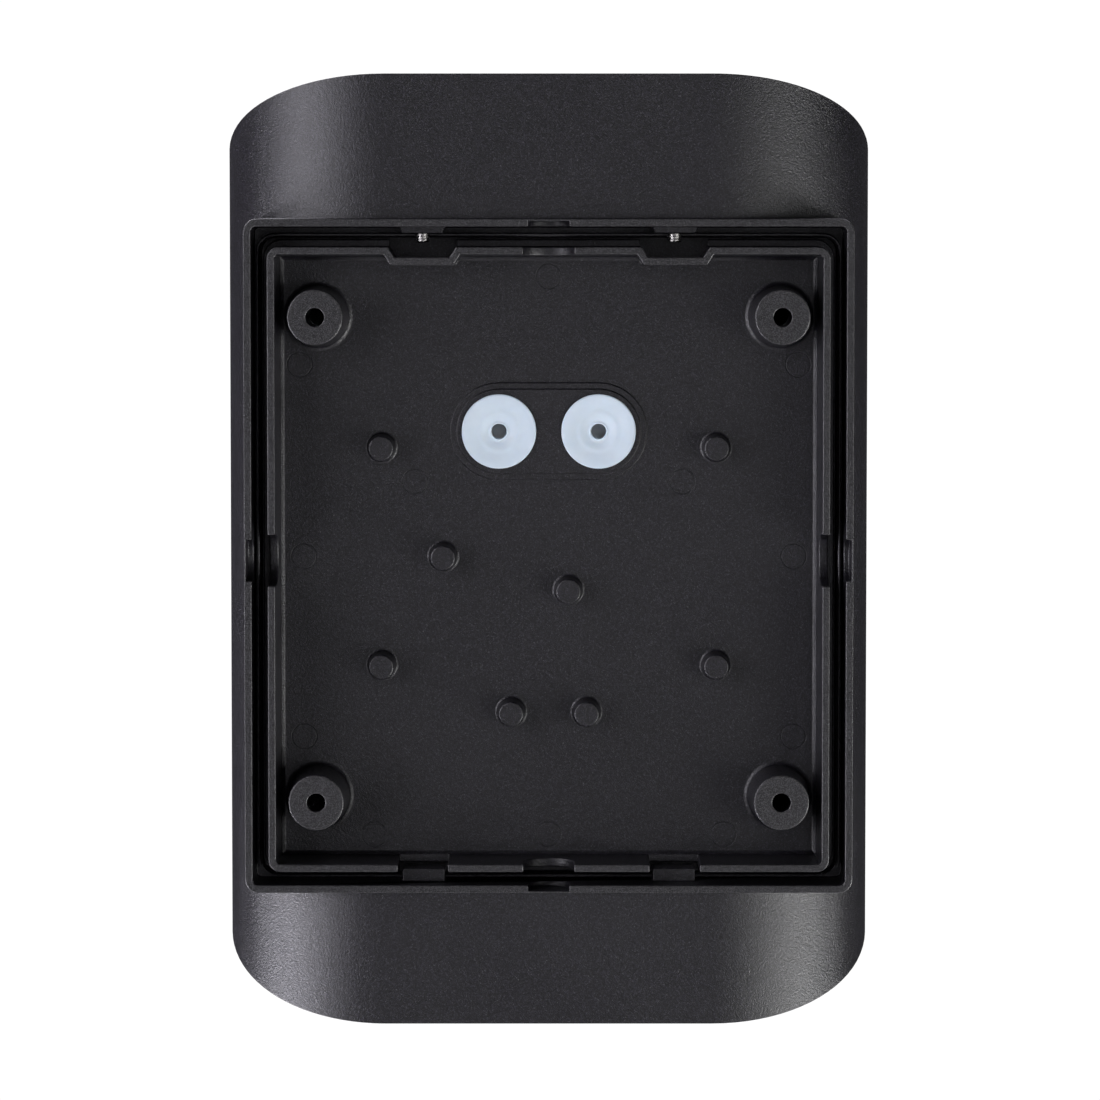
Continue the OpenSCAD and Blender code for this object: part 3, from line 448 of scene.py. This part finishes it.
def edge_room(sharp, reach):
    """How far it is from each sharp edge to the nearest other sharp edge beside it.
    Points are spread along every sharp edge. A point's room is the distance to the nearest point of an
    edge that doesn't meet its own and that lies more than 30 degrees off its own edge's line."""
    spans = [(e.verts[0].co.copy(), e.verts[1].co.copy()) for e in sharp]
    marks = []
    for number, (a, b) in enumerate(spans):
        count = max(2, int((b - a).length / (0.7 * reach)) + 1)
        marks += [(number, a.lerp(b, (k + 0.5) / count)) for k in range(count)]
    tree = kdtree.KDTree(len(marks))
    for at, (_, point) in enumerate(marks):
        tree.insert(point, at)
    tree.balance()
    corners = [{e.verts[0].index, e.verts[1].index} for e in sharp]
    lines = [(b - a).normalized() for a, b in spans]
    room = np.full(len(sharp), 3.0 * reach)
    for number, point in marks:
        for other, at, distance in tree.find_range(point, 3.0 * reach):
            near = marks[at][0]
            if distance < room[number] and not corners[near] & corners[number]:
                if abs((other - point).dot(lines[number])) < 0.87 * distance:
                    room[number] = distance
    return room


def merged_skin(node):
    """A copy of a CAD node's mesh, merged into one skin, with flat areas made whole."""
    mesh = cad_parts[node].data.copy()
    mesh.name = node + "_skin"
    skin = bmesh.new()
    skin.from_mesh(mesh)
    bmesh.ops.remove_doubles(skin, verts=skin.verts, dist=ONE_POINT)
    bmesh.ops.dissolve_limit(skin, angle_limit=FLAT_TURN, verts=skin.verts,
                             edges=skin.edges, delimit=set())
    skin.verts.index_update()
    return mesh, skin


def write_skin(skin, mesh):
    """Writes a skin back into its mesh, without the CAD model's own normals and map."""
    skin.to_mesh(mesh)
    skin.free()
    for name in ("custom_normal", "UVMap"):
        if name in mesh.attributes:
            mesh.attributes.remove(mesh.attributes[name])


def soft_edged(node, round_by, body, finish):
    """A copy of a CAD node with its sharp edges rounded: each by round_by, or by 0.45 of its room where
    that is less, but by no less than a twentieth of round_by. The normals then lean to the larger faces,
    so that flat faces look flat."""
    mesh, skin = merged_skin(node)
    sharp = [e for e in skin.edges
             if len(e.link_faces) == 2 and e.calc_face_angle() > SHARP_TURN]
    room = edge_room(sharp, round_by)
    skin.edges.index_update()
    places = np.array([e.index for e in sharp])
    weights = np.zeros(len(skin.edges), dtype=np.float32)
    weights[places] = np.clip(0.45 * room / round_by, 0.05, 1.0)
    write_skin(skin, mesh)
    mesh.attributes.new("bevel_weight_edge", "FLOAT", "EDGE").data.foreach_set("value", weights)
    shade_smooth(mesh)
    piece = placed(node + "_skin", mesh)
    bevel = piece.modifiers.new("Soft edges", "BEVEL")
    bevel.width = round_by
    bevel.segments = 2
    bevel.limit_method = "WEIGHT"
    bevel.use_clamp_overlap = False
    flat = piece.modifiers.new("Flat faces", "WEIGHTED_NORMAL")
    flat.weight = 70  # above 50, the larger faces count for more
    flat.keep_sharp = True
    return dress(piece, body, finish, (node,))


def smooth_lead(node, finish):
    """A copy of a lead with its rings smoothed: an eight-sided tube draws in to 0.902 of its radius when
    it is smoothed, so its points first move out along their normals by 0.109 of the radius."""
    move_out = 0.109 * LEAD_RADIUS
    mesh, skin = merged_skin(node)
    skin.normal_update()
    write_skin(skin, mesh)
    count = len(mesh.vertices)
    points, normals = np.empty(3 * count), np.empty(3 * count)
    mesh.vertices.foreach_get("co", points)
    mesh.vertex_normals.foreach_get("vector", normals)
    mesh.vertices.foreach_set("co", points + move_out * normals)
    shade_smooth(mesh)
    piece = placed(node + "_skin", mesh)
    add_smooth(piece, 2)
    return dress(piece, TRAY, finish, (node,))


class WallLightOperator(Operator):
    """Base of the operators: each makes a piece or a group of like pieces."""
    bl_options = {"REGISTER", "UNDO"}


class WALLLIGHT_OT_castings(WallLightOperator):
    """Coats the wall tray and the hood, with soft cast edges"""
    bl_idname = "walllight.castings"
    bl_label = "Tray and hood castings"

    def execute(self, context):
        look = context.scene.wall_light_finish
        coat = powder_coat(look)
        soft_edged("wall_tray", look.edge_round, TRAY, coat)
        soft_edged("hood_shell", look.edge_round, HOOD, coat)
        return {"FINISHED"}


class WALLLIGHT_OT_grommets(WallLightOperator):
    """Turns the two silicone cable grommets"""
    bl_idname = "walllight.grommets"
    bl_label = "Cable grommets"

    def execute(self, context):
        finish = silicone(context.scene.wall_light_finish)
        neck, lip, bore = 8.0, 9.4, 2.0  # radii, in millimetres
        for side in SIDES:
            node = "cable_grommet_" + side
            low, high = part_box(node)
            rim = (high.x - low.x) / 2 / MM
            deep = (high.y - low.y) / MM
            # radius and depth from the back face, in millimetres: the dished face, its ring and its lip
            profile = np.array([
                (bore, deep - 0.1), (bore, 4.0), (bore, 1.7), (bore + 0.02, 1.2), (2.12, 0.98), (2.32, 0.94),
                (2.52, 1.12), (2.9, 1.16), (3.4, 1.0), (4.0, 0.76), (4.6, 0.58), (5.1, 0.50), (5.5, 0.52),
                (6.1, 0.50), (6.9, 0.34), (8.0, 0.14), (9.0, 0.03), (rim - 0.42, 0.0), (rim - 0.15, 0.05),
                (rim - 0.02, 0.2), (rim, 0.45), (rim, 0.96), (rim - 0.05, 1.0), (neck + 0.1, 1.0),
                (neck, 1.06), (neck, deep - 2.15), (neck + 0.06, deep - 2.1), (lip - 0.1, deep - 2.1),
                (lip, deep - 2.0), (lip, deep - 1.3), (lip - 0.2, deep - 1.2), (5.5, deep - 0.55),
                (3.6, deep - 0.1), (3.3, deep), (2.2, deep), (bore + 0.02, deep - 0.03)])
            across, up, depth = turn_round(profile[:, 0] * MM, profile[:, 1] * MM, 48)
            skin = skin_of((low.x + high.x) / 2 + across, high.y - depth, (low.z + high.z) / 2 + up,
                           round_rows=True)
            piece_of(node + "_moulding", [skin], TRAY, finish, (node,), smooth_by=1)
        return {"FINISHED"}


class WALLLIGHT_OT_seals(WallLightOperator):
    """Moulds the tray's seal and the two window gaskets"""
    bl_idname = "walllight.seals"
    bl_label = "Seals"

    def execute(self, context):
        finish = rubber("seal_rubber", (0.016, 0.016, 0.017), 0.62)
        corner, band = 4.0 * MM, 2.5 * MM
        low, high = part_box("tray_seal")
        x, y, z = gasket(high.x - low.x, high.z - low.z, corner, band, high.y - low.y)
        skin = skin_of((low.x + high.x) / 2 + x, (low.y + high.y) / 2 + z, (low.z + high.z) / 2 + y,
                       round_rows=True)
        piece_of("tray_seal_moulding", [skin], TRAY, finish, ("tray_seal",))
        corner, band, thick, square = 15.0 * MM, 4.5 * MM, 0.78 * MM, 6.0
        cos, sin = math.cos(END_SLOPE), math.sin(END_SLOPE)
        for end, sign in zip(ENDS, (1, -1)):
            node = end + "_glass_seal"
            low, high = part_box(node)
            length = ((high.y - low.y) - thick * sin) / cos
            x, y, z = gasket(high.x - low.x, length, corner, band, thick, square)
            # the flat gasket leans with the end: y runs down the slope and z stands square to it
            skin = skin_of((low.x + high.x) / 2 + x, (low.y + high.y) / 2 + y * cos - z * sin,
                           (low.z + high.z) / 2 + sign * (y * sin + z * cos), round_rows=True)
            piece_of(node + "_moulding", [skin], HOOD, finish, (node,))
        return {"FINISHED"}


class WALLLIGHT_OT_lock_screws(WallLightOperator):
    """Cuts the two lock screws, with their threads, knurled heads and sockets"""
    bl_idname = "walllight.lock_screws"
    bl_label = "Lock screws"

    def execute(self, context):
        finish = metal("stainless_steel", (0.82, 0.81, 0.79), 0.22, (1.0, 1.0, 6.0), 0.12)
        # radii and lengths, in millimetres
        crest, root, pitch, point, point_slope = 2.0, 1.62, 0.7, 1.5, 1.2
        head, head_long, socket, socket_deep = 3.5, 4.0, 1.75, 2.2
        rows_a_turn, columns = 8, 24
        angle = np.linspace(0, 2 * np.pi, columns, endpoint=False)
        for side in SIDES:
            node = "lock_screw_" + side
            low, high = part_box(node)
            shank = (high.z - low.z) / MM - head_long
            along = np.linspace(0, shank - 0.05, int(shank / pitch * rows_a_turn))[:, None]
            # a helix: at angle a and length s the thread's height is 1.3 |2 frac(s / pitch - a / 2 pi) - 1|
            # less 0.15, cut off at 0 and 1 for its flat root and crest; a cone cuts the screw's point
            turn = np.mod(along / pitch - angle / (2 * np.pi), 1.0)
            height = np.clip(1.3 * np.abs(2 * turn - 1) - 0.15, 0, 1)
            thread = np.minimum(root + (crest - root) * height, point + point_slope * along)
            # the head: 24 fine ridges round it, then a hexagon whose radius is its flat over cos of the
            # angle from the middle of a side
            hexagon = socket * math.cos(math.pi / 6) / np.cos(np.mod(angle, np.pi / 3) - np.pi / 6)
            ones = np.ones(columns)
            ridges = head - 0.09 * (np.arange(columns) % 2)
            head_rows = [
                (root + 0 * ones, shank), ((head - 0.25) * ones, shank), (ridges, shank + 0.2),
                (ridges, shank + head_long - 0.45), ((head - 0.15) * ones, shank + head_long - 0.3),
                ((head - 0.45) * ones, shank + head_long), (hexagon + 0.25, shank + head_long),
                (hexagon, shank + head_long - 0.2), (hexagon, shank + head_long - socket_deep)]
            radius = np.concatenate([thread, np.array([row for row, _ in head_rows])]) * MM
            level = np.concatenate([along[:, 0], np.array([at for _, at in head_rows])]) * MM
            skin = skin_of((low.x + high.x) / 2 + radius * np.cos(angle),
                           (low.y + high.y) / 2 + radius * np.sin(angle),
                           low.z + level[:, None] * ones)
            piece_of(node + "_cut", [skin], node, finish, (node,), sharp=34.0)
        return {"FINISHED"}


class WALLLIGHT_OT_access_plugs(WallLightOperator):
    """Moulds the two rubber plugs over the lock screws, with domed caps and sealing ribs"""
    bl_idname = "walllight.access_plugs"
    bl_label = "Access plugs"

    def execute(self, context):
        finish = rubber("plug_rubber", (0.020, 0.020, 0.022), 0.55)
        # the cap's radius and thickness, the stem's radii at a rib and a groove, and its length, in mm
        cap, thick, stem, groove, long = 5.3, 0.9, 3.7, 3.4, 8.0
        ribs = 4
        cos, sin = math.cos(END_SLOPE), math.sin(END_SLOPE)
        for side in SIDES:
            node = "access_plug_" + side
            low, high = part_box(node)
            centre_x = (low.x + high.x) / 2
            root = low.z + long * MM  # where the stem's axis meets the sloping end
            centre_y = high.y - (cap * cos) * MM
            # the cap: its edge is a quarter round, then it rises as a shallow dome
            swell = np.linspace(0, np.pi / 2, 6)
            inwards = np.linspace(cap - 0.6, 0.25, 8)
            radius = np.concatenate([[cap - 0.5, cap], cap - 0.45 + 0.45 * np.cos(swell), inwards])
            height = np.concatenate([[0.05, 0.05], thick - 0.5 + 0.4 * np.sin(swell),
                                     thick - 0.05 - 0.05 * (inwards / cap) ** 2])
            x, y, z = turn_round(radius * MM, height * MM, 40)
            cap_skin = skin_of(centre_x + x, centre_y + y * cos - z * sin, root + y * sin + z * cos)
            # the stem: at share s of its length its radius swells by sqrt |sin(ribs pi s)|, and its top
            # follows the slope
            level = np.linspace(0, 1, 33)
            rib = groove + (stem - groove) * np.abs(np.sin(ribs * np.pi * level)) ** 0.5
            rib[0] = groove - 0.4
            x, y, share = turn_round(rib * MM, level, 40)
            z = low.z + share * (long * MM + y * math.tan(END_SLOPE))
            stem_skin = skin_of(centre_x + x, centre_y + y, z)
            piece_of(node + "_moulding", [cap_skin, stem_skin], node, finish, (node,))
        return {"FINISHED"}


class WALLLIGHT_OT_sheet_metal(WallLightOperator):
    """Finishes the gear bracket and the two window frames in brushed aluminium"""
    bl_idname = "walllight.sheet_metal"
    bl_label = "Bracket and frames"

    def execute(self, context):
        look = context.scene.wall_light_finish
        finish = metal("brushed_aluminium", (0.72, 0.73, 0.74), 0.34, (0.04, 1.0, 1.0))
        soft_edged("gear_bracket", 2 * look.small_edge_round, TRAY, finish)
        for end in ENDS:
            soft_edged(end + "_glass_frame", look.small_edge_round, HOOD, finish)
        return {"FINISHED"}


class WALLLIGHT_OT_gear(WallLightOperator):
    """Finishes the driver and the terminal block"""
    bl_idname = "walllight.gear"
    bl_label = "Driver and terminal block"

    def execute(self, context):
        look = context.scene.wall_light_finish
        soft_edged("led_driver", 4 * look.small_edge_round, TRAY,
                   moulded("driver_case", (0.78, 0.78, 0.76), 0.42))
        soft_edged("terminal_block", 2 * look.small_edge_round, TRAY,
                   moulded("terminal_plastic", (0.70, 0.70, 0.64), 0.34))
        return {"FINISHED"}


class WALLLIGHT_OT_small_metal(WallLightOperator):
    """Finishes the screws and the earth lugs"""
    bl_idname = "walllight.small_metal"
    bl_label = "Screws and lugs"

    def execute(self, context):
        look = context.scene.wall_light_finish
        zinc = metal("zinc_plate", (0.66, 0.67, 0.68), 0.26, stain=0.35)
        brass = metal("brass", (0.78, 0.56, 0.27), 0.26, stain=0.3)
        for node in ("gear_bracket_screws", "led_driver_screws", "terminal_block_screws",
                     "led_board_screws"):
            soft_edged(node, 2 * look.small_edge_round, TRAY, zinc)
        soft_edged("glass_frame_screws", 2 * look.small_edge_round, HOOD, zinc)
        for node in ("terminal_clamp_screws", "earth_lugs", "earth_screws"):
            soft_edged(node, look.small_edge_round, TRAY, brass)
        return {"FINISHED"}


class WALLLIGHT_OT_lamps(WallLightOperator):
    """Finishes the lamp boards and reflectors, and moulds the lamps"""
    bl_idname = "walllight.lamps"
    bl_label = "Lamp boards"

    def execute(self, context):
        look = context.scene.wall_light_finish
        mask = moulded("board_white", (0.84, 0.85, 0.84), 0.28, 2400.0, 0.02)
        gloss = moulded("reflector_white", (0.86, 0.86, 0.86), 0.20, 900.0, 0.01)
        phosphor = moulded("led_phosphor", (0.88, 0.66, 0.10), 0.30, 5000.0, 0.02)
        wide, tall = 3.5 * MM, 0.9 * MM
        per_row, columns = 6, 24
        for end, sign in zip(ENDS, (1, -1)):
            soft_edged(end + "_led_board", look.small_edge_round, TRAY, mask)
            soft_edged(end + "_reflector", 2 * look.small_edge_round, TRAY, gloss)
            node = end + "_led_chips"
            low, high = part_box(node)
            base = low.z if sign > 0 else high.z
            # a lamp: a superellipse |x|^6 + |y|^6 = 1, its walls drawn in a little towards the top, and a
            # shallow round dish of phosphor: rows of size, squareness (the power) and height
            rows = np.array([(1.0, 6, 0.0), (1.0, 6, 0.72), (0.97, 6, 0.97), (0.93, 6, 1.0), (0.80, 2, 1.0),
                             (0.76, 2, 0.86), (0.55, 2, 0.80), (0.3, 2, 0.79), (0.06, 2, 0.79)])
            angle = np.linspace(0, 2 * np.pi, columns, endpoint=False)
            power = (2 / rows[:, 1])[:, None]
            x = rows[:, :1] * np.sign(np.cos(angle)) * np.abs(np.cos(angle)) ** power * wide / 2
            y = rows[:, :1] * np.sign(np.sin(angle)) * np.abs(np.sin(angle)) ** power * wide / 2
            z = base + sign * rows[:, 2:] * tall * np.ones(columns)
            skins = [skin_of(cx + x, cy + y, z)
                     for cx in np.linspace(low.x + wide / 2, high.x - wide / 2, per_row)
                     for cy in (low.y + wide / 2, high.y - wide / 2)]
            piece_of(node + "_moulding", skins, TRAY, phosphor, (node,))
        return {"FINISHED"}


class WALLLIGHT_OT_leads(WallLightOperator):
    """Smooths and colours the inner leads"""
    bl_idname = "walllight.leads"
    bl_label = "Inner leads"

    def execute(self, context):
        for nodes, slot, colour in (
            (("live_lead",), "lead_brown", (0.12, 0.045, 0.02)),
            (("neutral_lead",), "lead_blue", (0.02, 0.09, 0.40)),
            (("earth_lead",), "lead_earth", (0.35, 0.50, 0.05)),
            (("upper_led_leads", "lower_led_leads"), "lead_red", (0.45, 0.02, 0.015)),
        ):
            finish = moulded(slot, colour, 0.35, 1800.0, 0.02)
            for node in nodes:
                smooth_lead(node, finish)
        return {"FINISHED"}


class WALLLIGHT_OT_windows(WallLightOperator):
    """Polishes the two window panes"""
    bl_idname = "walllight.windows"
    bl_label = "Window panes"

    def execute(self, context):
        look = context.scene.wall_light_finish
        glass = window_glass()
        for end in ENDS:
            soft_edged(end + "_glass", 2 * look.small_edge_round, HOOD, glass)
        return {"FINISHED"}


def floor_finish():
    """A plain pale floor that looks white, and throws back only some of the light that reaches it."""
    made = material("pale_floor", lambda place: {
        "Base Color": mix(spread(noise(place, 6.0), 0.3, 0.7), (0.55, 0.55, 0.55, 1), (0.60, 0.60, 0.60, 1)),
        "Roughness": 0.8})
    tree = made.node_tree
    output = next(node for node in tree.nodes if node.type == "OUTPUT_MATERIAL")
    shader = Value(tree, output.inputs[0].links[0].from_socket)
    seen = shader.node("ShaderNodeLightPath", output="Is Camera Ray")
    white = shader.node("ShaderNodeEmission", {}, {"Color": (1, 1, 1, 1), "Strength": SEEN_WHITE})
    both = shader.node("ShaderNodeMixShader", {}, {0: seen, 1: shader, 2: white})
    tree.links.new(both.socket, output.inputs[0])
    return made


def set_camera(stage, middle):
    """Sets the camera behind the light, a little above the wall's normal."""
    camera = placed("camera", bpy.data.cameras.new("camera"))
    camera.data.lens = stage.camera_lens
    camera.data.sensor_width = 36.0
    camera.data.shift_x, camera.data.shift_y = CAMERA_SHIFT
    towards = Vector((0, math.cos(stage.camera_height), math.sin(stage.camera_height)))
    camera.location = middle + towards * stage.camera_distance
    camera.rotation_euler = (-towards).to_track_quat("-Z", "Y").to_euler()
    bpy.context.scene.camera = camera


def lay_floor(level):
    """Lays the floor at a height."""
    mesh = bpy.data.meshes.new("floor")
    corners = [(x * FLOOR_HALF, y * FLOOR_HALF, level) for x, y in ((-1, -1), (1, -1), (1, 1), (-1, 1))]
    mesh.from_pydata(corners, [], [(0, 1, 2, 3)])
    mesh.materials.append(floor_finish())
    floor = placed("floor", mesh)


def set_world():
    """A world that the camera sees as white, and that lights the object only faintly."""
    world = bpy.data.worlds.new("studio")
    bpy.context.scene.world = world
    world.use_nodes = True
    tree = world.node_tree
    tree.nodes.clear()
    choose = tree.nodes.new("ShaderNodeMixShader")
    path = tree.nodes.new("ShaderNodeLightPath")
    tree.links.new(path.outputs["Is Camera Ray"], choose.inputs[0])
    for socket, strength in ((1, WORLD_LIGHT), (2, SEEN_WHITE)):
        background = tree.nodes.new("ShaderNodeBackground")
        background.inputs["Color"].default_value = (1, 1, 1, 1)
        background.inputs["Strength"].default_value = strength
        tree.links.new(background.outputs[0], choose.inputs[socket])
    output = tree.nodes.new("ShaderNodeOutputWorld")
    tree.links.new(choose.outputs[0], output.inputs[0])


def set_lights(middle):
    """Sets the soft boxes round the middle of the hood's back, each turned towards it."""
    for name, turn, rise, reach, wide, tall, power in SOFT_BOXES:
        light = bpy.data.lights.new(name, "AREA")
        light.shape = "RECTANGLE"
        light.size = wide
        light.size_y = tall
        light.energy = power
        light.color = WHITE_LIGHT if name.startswith("right") else COOL_LIGHT
        lamp = placed(name, light)
        a, e = math.radians(turn), math.radians(rise)
        out = Vector((math.sin(a) * math.cos(e), math.cos(a) * math.cos(e), math.sin(e)))
        lamp.location = middle + out * reach
        lamp.rotation_euler = (-out).to_track_quat("-Z", "Y").to_euler()


class WALLLIGHT_OT_stage(WallLightOperator):
    """Lays the floor and sets the camera and the soft lights"""
    bl_idname = "walllight.stage"
    bl_label = "Stage"

    def execute(self, context):
        stage = context.scene.wall_light_stage
        low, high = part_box("hood_shell")
        middle = Vector((0.0, 0.0, (low.z + high.z) / 2))
        set_camera(stage, middle)
        lay_floor(low.z - stage.floor_drop)
        set_world()
        set_lights(middle)
        context.scene.view_settings.view_transform = "Standard"
        return {"FINISHED"}


class WALLLIGHT_PT_pieces(Panel):
    """Lists the pieces and the sizes and colours of their finishes"""
    bl_label = "Wall Light"
    bl_idname = "WALLLIGHT_PT_pieces"
    bl_space_type = "VIEW_3D"
    bl_region_type = "UI"
    bl_category = "Wall Light"

    def draw(self, context):
        column = self.layout.column(align=True)
        for made in OPERATORS:
            column.operator(made.bl_idname)
        for group in (context.scene.wall_light_finish, context.scene.wall_light_stage):
            box = self.layout.box()
            for name in type(group).__annotations__:
                box.prop(group, name)


OPERATORS = (
    WALLLIGHT_OT_castings,
    WALLLIGHT_OT_grommets,
    WALLLIGHT_OT_seals,
    WALLLIGHT_OT_lock_screws,
    WALLLIGHT_OT_access_plugs,
    WALLLIGHT_OT_sheet_metal,
    WALLLIGHT_OT_gear,
    WALLLIGHT_OT_small_metal,
    WALLLIGHT_OT_lamps,
    WALLLIGHT_OT_leads,
    WALLLIGHT_OT_windows,
    WALLLIGHT_OT_stage,
)
CLASSES = (WallLightFinish, WallLightStage, *OPERATORS, WALLLIGHT_PT_pieces)


def register():
    for made in CLASSES:
        bpy.utils.register_class(made)
    bpy.types.Scene.wall_light_finish = PointerProperty(type=WallLightFinish)
    bpy.types.Scene.wall_light_stage = PointerProperty(type=WallLightStage)


def unregister():
    del bpy.types.Scene.wall_light_stage
    del bpy.types.Scene.wall_light_finish
    for made in reversed(CLASSES):
        bpy.utils.unregister_class(made)


def main():
    register()
    bpy.ops.walllight.castings()
    bpy.ops.walllight.grommets()
    bpy.ops.walllight.seals()
    bpy.ops.walllight.lock_screws()
    bpy.ops.walllight.access_plugs()
    bpy.ops.walllight.sheet_metal()
    bpy.ops.walllight.gear()
    bpy.ops.walllight.small_metal()
    bpy.ops.walllight.lamps()
    bpy.ops.walllight.leads()
    bpy.ops.walllight.windows()
    bpy.ops.walllight.stage()


if __name__ == "__main__":
    main()
